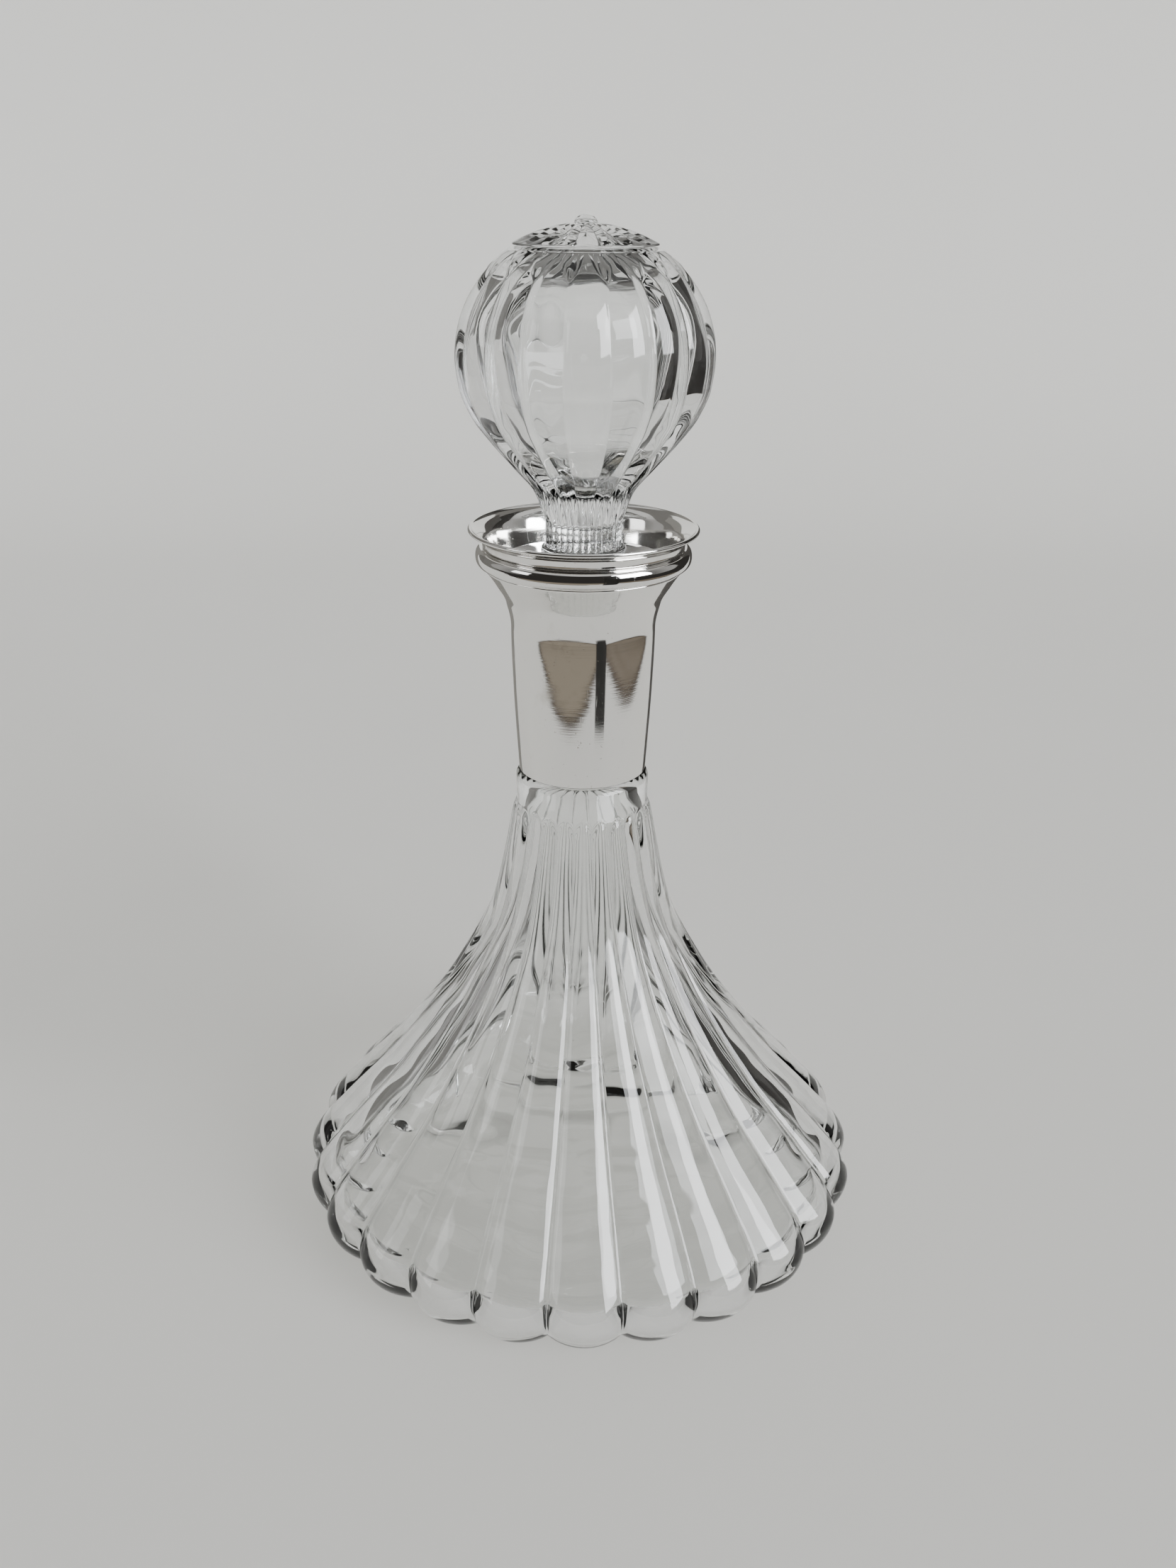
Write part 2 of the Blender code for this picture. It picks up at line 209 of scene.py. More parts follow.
def turnedSilverGroup():
    # fine rings from the lathe, hairline scratches, pits, and tarnish that gathers in patches
    group, given, made = newGroup("turnedSilver", [
        ("Bright", "NodeSocketColor", (0.93, 0.91, 0.88, 1.0)),
        ("Tarnish", "NodeSocketColor", (0.4, 0.33, 0.25, 1.0)),
        ("Tarnish Amount", "NodeSocketFloat", 0.5), ("Roughness", "NodeSocketFloat", 0.14)],
        [("Color", "NodeSocketColor"), ("Roughness", "NodeSocketFloat"), ("Height", "NodeSocketFloat")])
    rings = noiseNode(group, objectCoords(group, (18.0, 18.0, 2600.0)), 1.0, 3.0)
    fineRings = noiseNode(group, objectCoords(group, (60.0, 60.0, 9000.0)), 1.0, 1.0)
    scratchField = noiseNode(group, objectCoords(group, (1500.0, 1500.0, 130.0)), 1.0, 1.0)
    scratches = rangeNode(group, scratchField, 0.68, 0.74, 0.0, 1.0)
    pitField = noiseNode(group, objectCoords(group), 1700.0, 1.0)
    pits = rangeNode(group, pitField, 0.74, 0.80, 0.0, 1.0)
    patches = noiseNode(group, objectCoords(group, (1.0, 1.0, 0.8)), 75.0, 5.0, 0.62)
    tarnish = rangeNode(group, patches, 0.60, 0.76, 0.0, 1.0)
    tarnishMask = mathNode(group, "MULTIPLY", tarnish, given.outputs["Tarnish Amount"])
    dirty = mathNode(group, "MAXIMUM", tarnishMask, mathNode(group, "MULTIPLY", pits, 0.6))
    colour = group.nodes.new("ShaderNodeMix")
    colour.data_type = "RGBA"
    group.links.new(dirty, colour.inputs["Factor"])
    group.links.new(given.outputs["Bright"], colour.inputs[6])
    group.links.new(given.outputs["Tarnish"], colour.inputs[7])
    rough = mathNode(group, "ADD", given.outputs["Roughness"], mathNode(group, "MULTIPLY", rings, 0.05))
    rough = mathNode(group, "ADD", rough, mathNode(group, "MULTIPLY", dirty, 0.25))
    rough = mathNode(group, "ADD", rough, mathNode(group, "MULTIPLY", scratches, 0.08))
    height = mathNode(group, "ADD", rings, mathNode(group, "MULTIPLY", fineRings, 0.35))
    height = mathNode(group, "SUBTRACT", height, mathNode(group, "MULTIPLY", scratches, 0.5))
    height = mathNode(group, "SUBTRACT", height, pits)
    group.links.new(colour.outputs[2], made.inputs["Color"])
    group.links.new(rough, made.inputs["Roughness"])
    group.links.new(height, made.inputs["Height"])
    return group


pressedGlass = pressedGlassGroup()
turnedSilver = turnedSilverGroup()
print("shared node groups made")


def newMaterial(name):
    material = bpy.data.materials.new(name)
    material.use_nodes = True
    return material, material.node_tree, material.node_tree.nodes["Principled BSDF"]


def placeGroup(tree, group, values):
    node = tree.nodes.new("ShaderNodeGroup")
    node.node_tree = group
    for label, value in values.items():
        node.inputs[label].default_value = value
    return node


def addBump(tree, shader, height, distance, strength=1.0):
    bump = tree.nodes.new("ShaderNodeBump")
    bump.inputs["Distance"].default_value = distance
    bump.inputs["Strength"].default_value = strength
    tree.links.new(height, bump.inputs["Height"])
    tree.links.new(bump.outputs["Normal"], shader.inputs["Normal"])


def glassMaterial(name, look):
    material, tree, shader = newMaterial(name)
    shader.inputs["Base Color"].default_value = (*look["tint"], 1.0)
    shader.inputs["Transmission Weight"].default_value = 1.0
    shader.inputs["IOR"].default_value = look["ior"]
    surface = placeGroup(tree, pressedGlass, {
        "Wave Scale": look["waveScale"], "Smudge Scale": look["smudgeScale"],
        "Clean Roughness": look["clean"], "Smudged Roughness": look["smudged"]})
    tree.links.new(surface.outputs["Roughness"], shader.inputs["Roughness"])
    addBump(tree, shader, surface.outputs["Wave"], look["waveHeight"])
    letLampsThrough(tree, shader, look["shade"], look["edgeShade"])
    return material


def letLampsThrough(tree, shader, shade, edgeShade):
    # lamps and bounced light pass through the glass, so it throws a pale shadow with darker edges
    path = tree.nodes.new("ShaderNodeLightPath")
    facing = tree.nodes.new("ShaderNodeLayerWeight")
    facing.inputs["Blend"].default_value = 0.35
    tone = tree.nodes.new("ShaderNodeMix")
    tone.data_type = "RGBA"
    tone.inputs[6].default_value = (*shade, 1.0)
    tone.inputs[7].default_value = (*edgeShade, 1.0)
    tree.links.new(facing.outputs["Facing"], tone.inputs["Factor"])
    clear = tree.nodes.new("ShaderNodeBsdfTransparent")
    tree.links.new(tone.outputs[2], clear.inputs["Color"])
    mix = tree.nodes.new("ShaderNodeMixShader")
    passing = mathNode(tree, "MAXIMUM", path.outputs["Is Shadow Ray"], path.outputs["Is Diffuse Ray"])
    tree.links.new(passing, mix.inputs["Fac"])
    tree.links.new(shader.outputs["BSDF"], mix.inputs[1])
    tree.links.new(clear.outputs["BSDF"], mix.inputs[2])
    tree.links.new(mix.outputs["Shader"], tree.nodes["Material Output"].inputs["Surface"])


def silverMaterial(name, look):
    material, tree, shader = newMaterial(name)
    shader.inputs["Metallic"].default_value = 1.0
    surface = placeGroup(tree, turnedSilver, {
        "Bright": (*look["bright"], 1.0), "Tarnish": (*look["tarnish"], 1.0),
        "Tarnish Amount": look["tarnishAmount"], "Roughness": look["roughness"]})
    tree.links.new(surface.outputs["Color"], shader.inputs["Base Color"])
    tree.links.new(surface.outputs["Roughness"], shader.inputs["Roughness"])
    # a thin lacquer spreads the window into a soft sheen
    shader.inputs["Coat Weight"].default_value = look["lacquer"]
    shader.inputs["Coat Roughness"].default_value = look["lacquerRoughness"]
    shader.inputs["Coat IOR"].default_value = look["lacquerIor"]
    addBump(tree, shader, surface.outputs["Height"], look["markDepth"])
    return material


def dress(piece, material, body, slotName, *nodes):
    piece.data.materials.append(material)
    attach(piece, body)
    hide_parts(*nodes)


# pressed glass body; sizes in metres, heights from the foot
bottle = {
    "ribs": 24,
    "ribCentre": 0.844,  # share of the radius where a rib's arc has its centre
    "samplesPerRib": 20,
    "bulge": 0.0122,  # height of the widest level
    "shoulder": 0.122,
    "neckRadius": 0.0180,
    "wall": 0.0043,
    "floor": 0.0040,
    "floorRound": 0.0082,
    "footRadius": 0.058,
    "footHollow": 0.0025,
    "ringRadius": 0.0175,
    "ringTop": 0.1315,
    "spigotRadius": 0.0142,
    "bore": 0.0114,
    "boreBlend": 0.0014,  # how softly the inside turns into the bore
    "lipRound": 0.0012,
    "ringRound": 0.0022,
    "innerRibs": 0.8,  # how far the inside follows the ribs
    "floorRipple": 0.00035,
    "footRipple": 0.0006,
    "wallRipple": 0.00012,
    # shares of the way up from the bulge, and of the way in to the neck
    "sweep": [(0.0, 0.0), (0.03, 0.018), (0.12, 0.148), (0.30, 0.437), (0.52, 0.71), (0.75, 0.905),
              (1.0, 1.0)],
    "look": {"tint": (0.985, 0.992, 0.988), "ior": 1.5, "waveScale": 70.0, "waveHeight": 0.0004,
             "smudgeScale": 40.0, "clean": 0.0, "smudged": 0.04, "shade": (0.97, 0.97, 0.965),
             "edgeShade": (0.80, 0.80, 0.79)},
}


def bottleOuter(b):
    radius = bottleHigh.x
    tall = b["shoulder"] - b["bulge"]
    wide = radius - b["neckRadius"]
    curve = easedCurve(b["sweep"], 90, startSlope=0.0)
    return [(radius - inward * wide, b["bulge"] + up * tall) for up, inward in curve][::-1]


def easedBore(b, radius):
    # the inside narrows smoothly into the bore
    spare = radius - b["bore"]
    return b["bore"] + 0.5 * (spare + math.sqrt(spare ** 2 + b["boreBlend"] ** 2))


def ripple(angle, along):
    # slow, uneven waves in the pressed inside
    short = math.sin(along / 0.0021 + 1.6 * math.sin(5 * angle + 0.7)) * 0.6
    long = math.sin(along / 0.0037 + 2.3 * math.sin(3 * angle) + 1.1) * 0.7
    return short + long + 0.5 * math.sin(11 * angle + along / 0.006)


def makeBottle(b):
    lip = bottleHigh.z
    outer = bottleOuter(b)
    inner = [(easedBore(b, r - b["wall"]), z) for r, z in outer if z > b["bulge"] + 0.0015][::-1]
    lowR, lowZ = inner[0]
    floorDrop = lowZ - b["floor"]
    corner = ellipseArc((lowR - b["floorRound"], lowZ), (b["floorRound"], floorDrop), -90, -4, 18)
    profile = tagged([(corner[0][0] * i / 26, b["floor"]) for i in range(26)], "floor")
    profile += tagged(corner + inner, "in")
    bore, spigot = b["bore"], b["spigotRadius"]
    line = [(bore + 0.0001, inner[-1][1] + 0.004), (bore, lip - 0.02), (bore, lip - 0.001)]
    lipRound = b["lipRound"]
    line += ellipseArc((bore + lipRound, lip - lipRound), (lipRound, lipRound), 180, 90, 5)
    line += ellipseArc((spigot - lipRound, lip - lipRound), (lipRound, lipRound), 90, 0, 5)
    ringTop, ringR, ringRound = b["ringTop"], b["ringRadius"], b["ringRound"]
    line += [(spigot, ringTop + 0.0004), (spigot + 0.0006, ringTop)]
    line += ellipseArc((ringR - ringRound, ringTop - ringRound), (ringRound, ringRound), 90, 0, 8)
    line += [(ringR, ringTop - 0.004), (ringR - 0.0001, b["shoulder"] + 0.003)]
    profile += tagged(line, "plain")
    neck = [(b["neckRadius"], b["shoulder"] + 0.003 - 0.0006 * i) for i in range(1, 5)]
    profile += tagged(neck, "out")
    profile += tagged(outer, "out")
    bulge = ellipseArc((bottleHigh.x - b["bulge"], b["bulge"]), (b["bulge"], b["bulge"]), 0, -90, 26)
    profile += tagged(bulge[1:], "out")
    foot = b["footRadius"]
    hollow = easedCurve([(0.0, 0.0), (0.25, 0.3), (0.6, 0.8), (1.0, 1.0)], 24, 0.0, 0.0)
    profile += tagged([(foot * (1 - inward), b["footHollow"] * up) for inward, up in hollow], "foot")

    def shape(angle, radius, height, tag):
        if tag == "plain":
            return radius, height
        ribbed = radius * ribRadius(angle, b["ribs"], b["ribCentre"])
        if tag == "foot":
            fade = smoothStep(0.0, 0.02, radius) * (1 - smoothStep(0.052, 0.058, radius))
            return radius, height + b["footRipple"] * (1 + ripple(angle, radius * 0.8) / 2) * fade
        if tag == "floor":
            fade = smoothStep(0.0, 0.02, radius)
            return radius, height + b["floorRipple"] * ripple(angle, radius) * fade
        if tag == "in":
            share = b["innerRibs"] * (1 - smoothStep(0.06, 0.12, height))
            wave = b["wallRipple"] * ripple(angle, height) * (1 - smoothStep(0.03, 0.10, height))
            return radius + (ribbed - radius) * share + wave, height
        # the ribs end in round tops under the plain ring
        archTop = b["shoulder"] + 0.0012 - 0.0034 * ribOffset(angle, b["ribs"]) ** 2
        share = 1 - smoothStep(archTop - 0.0022, archTop, height)
        plain = min(radius, b["ringRadius"] - 0.0001) if height > b["shoulder"] - 0.004 else radius
        return plain + (ribbed - plain) * share, height

    piece = spin("bottleGlass", profile, b["ribs"] * b["samplesPerRib"], shape)
    dress(piece, glassMaterial("bottleGlass", b["look"]), "bottle", "bottle_glass", "bottle")
    print("bottle made:", len(piece.data.polygons), "faces")
    return piece


# turned silver collar and its bead
collar = {
    "edge": 0.0010,
    "cove": 0.0048,
    "beadSeat": 0.0246,
    "beadHeight": 0.0046,
    "beadDepth": 0.0024,
    "waistRadius": 0.0184,
    "waistRise": 0.0385,  # height of the narrowest level above the foot
    "footRadius": 0.0167,
    "wall": 0.0018,
    "footWall": 0.0010,
    "footRound": 0.0004,
    "lipRadius": 0.0145,
    "lipThickness": 0.0002,
    "steps": 256,
    "look": {"bright": (0.93, 0.92, 0.895), "tarnish": (0.42, 0.36, 0.27), "tarnishAmount": 0.30,
             "roughness": 0.045, "markDepth": 0.000005, "lacquer": 0.12, "lacquerRoughness": 0.42,
             "lacquerIor": 2.0},
    "beadLook": {"bright": (0.92, 0.91, 0.89), "tarnish": (0.30, 0.27, 0.23), "tarnishAmount": 0.35,
                 "roughness": 0.03, "markDepth": 0.000004, "lacquer": 0.0, "lacquerRoughness": 0.42,
                 "lacquerIor": 2.0},
}


def collarFlare(c, waistR, seatR, top, bottom, count):
    knots = [(0.0, 0.0), (0.24, 0.38), (0.56, 0.80), (1.0, 1.0)]
    curve = easedCurve(knots, count, endSlope=0.0)
    return [(seatR - inward * (seatR - waistR), top - down * (top - bottom)) for down, inward in curve]


def makeCollar(c):
    rimR, rimTop, bottom = collarHigh.x, collarHigh.z, collarLow.z
    edge, seat = c["edge"], c["beadSeat"]
    beadTop = rimTop - c["cove"]
    beadLowZ = beadTop - c["beadHeight"]
    waist = bottom + c["waistRise"]
    footRound = c["footRound"]
    edgeR = rimR - edge / 2
    rim = ellipseArc((edgeR, rimTop - edge / 2), (edge / 2, edge / 2), 160, -90, 14)
    cove = ellipseArc((edgeR, beadTop), (edgeR - seat - 0.0006, c["cove"] - edge), 90, 178, 16)[1:]
    seatLine = [(seat, beadTop), (seat, beadLowZ - 0.0001), (seat + 0.0004, beadLowZ - 0.0003)]
    outside = collarFlare(c, c["waistRadius"], seat + 0.0004, beadLowZ - 0.0006, waist, 40)
    lower = easedCurve([(0.0, 0.0), (0.4, 0.25), (1.0, 1.0)], 20, startSlope=0.0)
    narrows, drops = c["waistRadius"] - c["footRadius"], waist - bottom - footRound
    taper = [(c["waistRadius"] - share * narrows, waist - down * drops) for down, share in lower][1:]
    footIn = c["footRadius"] - c["footWall"]
    footCentre = (c["footRadius"] - footRound, bottom + footRound)
    foot = ellipseArc(footCentre, (footRound, footRound), 0, -90, 4)[1:]
    # a thin lip closes the gap between the foot and the glass
    lip, lipTop = c["lipRadius"], bottom + c["lipThickness"]
    foot += [(footIn, bottom), (lip, bottom), (lip, lipTop), (footIn, lipTop)]
    innerWaist = c["waistRadius"] - c["wall"]
    inside = [(footIn + (innerWaist - footIn) * i / 10, bottom + (waist - bottom) * i / 10)
              for i in range(1, 10)]
    inside += collarFlare(c, innerWaist, seat - c["wall"], beadLowZ, waist, 30)[::-1]
    dishCurve = easedCurve([(0.0, 0.0), (0.72, 0.30), (0.90, 0.62), (1.0, 1.0)], 26)
    startR, startZ = seat - c["wall"], beadLowZ
    endR, endZ = rim[0]
    dish = [(startR + (endR - startR) * u, startZ + (endZ - startZ) * v) for v, u in dishCurve][1:-1]
    profile = tagged(rim + cove + seatLine + outside + taper + foot + inside + dish, "metal")
    piece = spin("collarShell", profile, c["steps"], closed=True)
    dress(piece, silverMaterial("silverPlate", c["look"]), "bottle", "silver_plate", "collar")
    print("collar made:", len(piece.data.polygons), "faces")
    return piece


def makeBead(c):
    middle = (beadLow.z + beadHigh.z) / 2
    half = c["beadHeight"] / 2 - 0.00005
    angles = [math.radians(90 - 180 * i / 40) for i in range(41)]
    # a squared half-round: its face is flatter than a circle's
    profile = [(c["beadSeat"] + 0.00002 + c["beadDepth"] * abs(math.cos(a)) ** 0.6,
                middle + half * math.copysign(abs(math.sin(a)) ** 0.9, a)) for a in angles]
    piece = spin("collarBead", tagged(profile, "metal"), c["steps"], closed=True)
    dress(piece, silverMaterial("beadSilver", c["beadLook"]), "bottle", "bead_silver", "collar_bead")
    print("bead made")
    return piece


# cement, seen only from below the glass
cement = {"pale": (0.80, 0.77, 0.70), "dark": (0.62, 0.58, 0.50), "grain": 900.0}


def dressCement(c):
    material, tree, shader = newMaterial("plasterCement")
    grain = noiseNode(tree, objectCoords(tree), c["grain"], 6.0, 0.65)
    ramp = tree.nodes.new("ShaderNodeValToRGB")
    ramp.color_ramp.elements[0].color = (*c["dark"], 1.0)
    ramp.color_ramp.elements[1].color = (*c["pale"], 1.0)
    tree.links.new(grain, ramp.inputs["Fac"])
    tree.links.new(ramp.outputs["Color"], shader.inputs["Base Color"])
    tree.links.new(rangeNode(tree, grain, 0.3, 0.7, 0.75, 0.95), shader.inputs["Roughness"])
    addBump(tree, shader, grain, 0.0002)
    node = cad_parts["cement_ring"]
    node.data.materials.clear()
    node.data.materials.append(material)
    print("cement dressed")


# sealing sleeve on the stopper's peg
sleeve = {
    "bore": 0.0099,
    "radius": 0.0111,
    "flangeRadius": 0.0131,
    "flangeRound": 0.0005,
    "flangeThickness": 0.0012,
    "fins": 4,
    "finPitch": 0.0045,
    "finDepth": 0.00022,
    "steps": 160,
    "look": {"tint": (0.93, 0.94, 0.93), "ior": 1.46, "waveScale": 200.0, "waveHeight": 0.0002,
             "smudgeScale": 90.0, "clean": 0.12, "smudged": 0.3, "shade": (0.97, 0.97, 0.965),
             "edgeShade": (0.80, 0.80, 0.79)},
}


def makeSleeve(s):
    top, bottom = sleeveHigh.z, sleeveLow.z
    seat = top - s["flangeThickness"]
    soft = s["flangeRound"]
    profile = [(s["bore"], top)]
    profile += ellipseArc((s["flangeRadius"] - soft, top - soft), (soft, soft), 90, 0, 5)
    profile += [(s["flangeRadius"], seat), (s["radius"] - 0.0001, seat)]
    for fin in range(s["fins"]):
        start = seat - 0.003 - fin * s["finPitch"]
        profile += [(s["radius"] - s["finDepth"], start), (s["radius"], start - s["finPitch"] * 0.55),
                    (s["radius"] - s["finDepth"], start - s["finPitch"] * 0.8)]
    profile += [(s["radius"] - 0.0002, bottom + 0.002), (s["radius"] - 0.0006, bottom)]
    profile.append((s["bore"], bottom))
    piece = spin("sealSleeve", tagged(profile, "plain"), s["steps"], closed=True)
    dress(piece, glassMaterial("clearSeal", s["look"]), "sleeve", "clear_plastic", "seal_sleeve")
    print("sleeve made")
    return piece


# hollow ball with stem, flange and peg, and the crown bonded over it
stopper = {
    "ribs": 18,
    "ribCentre": 0.72,
    "samplesPerRib": 22,
    "radius": 0.0309,
    "low": 0.0385,  # the stem's top lies this far below the widest level
    "high": 0.0290,  # the ball would close this far above it
    # drop below the widest level, and radius there, down to the stem
    "underside": [(0.0, 0.0309), (0.007, 0.0301), (0.0135, 0.0275), (0.0205, 0.0223), (0.0260, 0.0174),
                  (0.0320, 0.0124), (0.0385, 0.0099)],
    "stemRadius": 0.0096,
    "stemHeight": 0.0070,
    "stemRibs": 36,
    "stemRibDepth": 0.0008,
    "flangeRadius": 0.0106,
    "flangeThickness": 0.0022,
    "flangeRound": 0.0006,
    "pegLength": 0.0400,
    "pegRadius": 0.0096,
    "pegRound": 0.001,
    "crownRadius": 0.0170,
    "innerRibs": 0.5,  # how far the hollow follows the ribs
    "cavityRadius": 0.0245,
    "cavityLift": 0.0040,  # the hollow is widest a little above the ball's widest level
    # drop below the hollow's widest level, and radius there
    "cavityTaper": [(0.0, 0.0245), (0.010, 0.0232), (0.018, 0.0190), (0.0245, 0.0135),
                    (0.0295, 0.0085), (0.0325, 0.0045), (0.0338, 0.0)],
    "cavityHigh": 0.0172,
    "cavityMouth": 0.0035,
    "look": {"tint": (0.985, 0.992, 0.99), "ior": 1.5, "waveScale": 90.0, "waveHeight": 0.00035,
             "smudgeScale": 60.0, "clean": 0.0, "smudged": 0.035, "shade": (0.97, 0.97, 0.965),
             "edgeShade": (0.80, 0.80, 0.79)},
    "crownEdge": 0.0006,  # thickness of the crown's rim
    "knobRadius": 0.0027,
    "knobHeight": 0.0018,
    "facets": 18,
    "facetDepth": 0.0006,
}


def makeBall(s):
    seam = ballHigh.z
    flangeTop = ballLow.z + s["pegLength"] + s["flangeThickness"]
    middle = flangeTop + s["stemHeight"] + s["low"]
    mouthAngle = math.degrees(math.acos(s["cavityMouth"] / s["cavityRadius"]))
    hollow = middle + s["cavityLift"]
    lower = easedCurve(s["cavityTaper"], 60, startSlope=0.0)
    profile = tagged([(r, hollow - drop) for drop, r in lower][::-1], "cavity")
    profile[0] = (0.0, profile[0][1], "cavity")
    upper = ellipseArc((0.0, hollow), (s["cavityRadius"], s["cavityHigh"]), 0, mouthAngle, 36)
    profile += tagged(upper[1:], "cavity")
    edgeR = s["crownRadius"]
    rim = [(s["cavityMouth"], seam), (edgeR - 0.0004, seam), (edgeR, seam - 0.0004)]
    profile += tagged(rim, "plain")
    seamAngle = math.degrees(math.asin((seam - middle) / s["high"]))
    profile += tagged(ellipseArc((0.0, middle), (s["radius"], s["high"]), seamAngle, 0, 40)[1:], "out")
    profile += tagged([(r, middle - drop) for drop, r in easedCurve(s["underside"], 90, 0.0)[1:]], "out")
    stemTop = profile[-1][1]
    stem = [(s["stemRadius"], stemTop - (stemTop - flangeTop) * i / 8) for i in range(1, 8)]
    profile += tagged(stem, "out")
    soft, pegRound = s["flangeRound"], s["pegRound"]
    peg, foot = s["pegRadius"], ballLow.z
    under = flangeTop - s["flangeThickness"]
    line = [(s["stemRadius"] - 0.0004, flangeTop + 0.0002)]
    line += ellipseArc((s["flangeRadius"] - soft, flangeTop - soft), (soft, soft), 90, 0, 5)
    line += [(s["flangeRadius"], under), (peg, under), (peg, foot + pegRound)]
    line += ellipseArc((peg - pegRound, foot + pegRound), (pegRound, pegRound), 0, -90, 4)[1:]
    profile += tagged(line + [(0.0, foot)], "plain")

    def shape(angle, radius, height, tag):
        if tag == "plain":
            return radius, height
        ribbed = radius * ribRadius(angle, s["ribs"], s["ribCentre"])
        if tag == "cavity":
            return radius + (ribbed - radius) * s["innerRibs"], height
        # the panels end in round tops below the seam
        archTop = seam - 0.0006 - 0.0034 * ribOffset(angle, s["ribs"]) ** 2
        share = 1 - smoothStep(archTop - 0.003, archTop, height)
        # fine ribs take over on the stem and stop at the flange
        stemShare = 1 - smoothStep(flangeTop + 0.005, flangeTop + 0.018, height)
        fine = s["stemRibDepth"] * stemShare * smoothStep(flangeTop, flangeTop + 0.0012, height)
        fineWave = abs(math.sin((angle + math.pi / 2) * s["stemRibs"] / 2))
        return radius + (ribbed - radius) * share - fine * (1 - fineWave), height

    piece = spin("stopperBall", profile, s["ribs"] * s["samplesPerRib"], shape)
    dress(piece, glassMaterial("ballGlass", s["look"]), "stopper", "ball_glass", "stopper_ball")
    print("stopper ball made:", len(piece.data.polygons), "faces")
    return piece


def makeCrown(s):
    seam, top = crownLow.z, crownHigh.z
    edge = seam + s["crownEdge"]
    peak = top - s["knobHeight"]
    knob = ellipseArc((0.0, peak), (s["knobRadius"], s["knobHeight"]), 90, 0, 12)
    profile = tagged([(0.0, top)] + knob[1:], "plain")
    spread = s["crownRadius"] - 0.0003 - s["knobRadius"]
    dome = [(s["knobRadius"] + spread * i / 30, i / 30) for i in range(1, 31)]
    profile += [(r, peak + (edge - peak) * (0.42 * t + 0.58 * t ** 2.2), "dome") for r, t in dome]
    edgeR = s["crownRadius"]
    base = [(edgeR, edge - 0.0002), (edgeR, seam + 0.0001), (edgeR - 0.0003, seam)]
    profile += tagged(base + [(edgeR * 0.5, seam), (0.0, seam)], "plain")

    def shape(angle, radius, height, tag):
        if tag == "plain":
            return radius, height
        t = (radius - s["knobRadius"]) / (s["crownRadius"] - s["knobRadius"])
        # facets run out from the knob like an umbrella's gores, and dip toward the rim
        offset = ribOffset(angle, s["facets"])
        deep = s["facetDepth"] * math.sin(math.pi * min(1.0, t) ** 1.3)
        return radius, height - deep * offset

    piece = spin("stopperCrown", profile, s["facets"] * 24, shape)
    dress(piece, glassMaterial("crownGlass", s["look"]), "stopper", "crown_glass", "stopper_crown")
    print("crown made")
    return piece


# the paper floor, the lamp, the cards and the room round them
studio = {
    "paper": (0.595, 0.588, 0.560),
    "paperShade": (0.567, 0.560, 0.533),
    "wallAt": 1.3,  # where the paper has turned upright
    "bendRadius": 0.6,
    "halfWidth": 3.0,
    "footGap": 0.0003,  # the paper lies this far below the foot
    "paperReach": (0.85, 1.15),  # how far aside and how high gloss and glass still find paper
    # painted reflection: the dark tone gloss and glass see where the paper ends aside and above
    "pastPaper": (0.17, 0.165, 0.155),
    # what gloss and glass see past the paper's two near edges: an edge's direction and distance
    "frontEdge": (-0.368, -0.930, 0.30),
    "sideEdge": (0.947, -0.322, 0.358),
    # painted reflections: floorboards past the edges, glowing for gloss and glass only
    "boards": (0.27, 0.235, 0.185),
    "darkBoards": (0.11, 0.085, 0.065),
    # painted shadow: a dark line just past the paper's near edges, which only gloss and glass see
    "edgeShadowLine": (0.035, 0.022, 0.014),
    "edgeWidth": 0.026,
    "boardsFade": (0.50, 0.62),
    # painted light: the glow gloss and glass see on the paper toward the window, how strong it gets and
    # over what span
    "paintedLightTone": (0.68, 0.68, 0.665),
    "paintedLightLift": 0.55,
    "paintedLightRise": (-0.05, 0.30),
    "windowSide": (0.35, -0.94, 0.0),
    # a dark upright near the camera, which the collar mirrors as a bar
    "postPlace": (0.136, -0.267, 0.20),
    "postSize": (0.085, 0.40),
    "postTone": (0.012, 0.011, 0.009),
    "cardTall": 0.4,
    # bearing from the front, distance, width and tone of the cards that darken the silver's edges:
    # painted shade in its reflections, as only gloss sees them
    "edgeCards": [{"bearing": 152.0, "far": 0.26, "wide": 0.10, "tone": (0.06, 0.055, 0.05)},
                  {"bearing": -152.0, "far": 0.26, "wide": 0.10, "tone": (0.10, 0.095, 0.085)}],
    "keyPlace": (1.45, -1.0, 1.05),
    "keySize": (0.9, 1.2),
    "keyPower": 5.0,  # watts
    "ambient": (0.335, 0.333, 0.325),
    "roomBright": (0.34, 0.335, 0.325),
    "roomDark": (0.03, 0.028, 0.026),
    "ceiling": (0.62, 0.62, 0.61),
    # a window's bearings from the front toward the right, and the sines of its lowest and highest angle
    "windows": [{"first": 32.0, "last": 74.0, "low": 0.08, "high": 0.68, "glow": (17.0, 17.3, 17.8)},
                {"first": -82.0, "last": -60.0, "low": 0.10, "high": 0.50, "glow": (2.6, 2.6, 2.6)}],
}


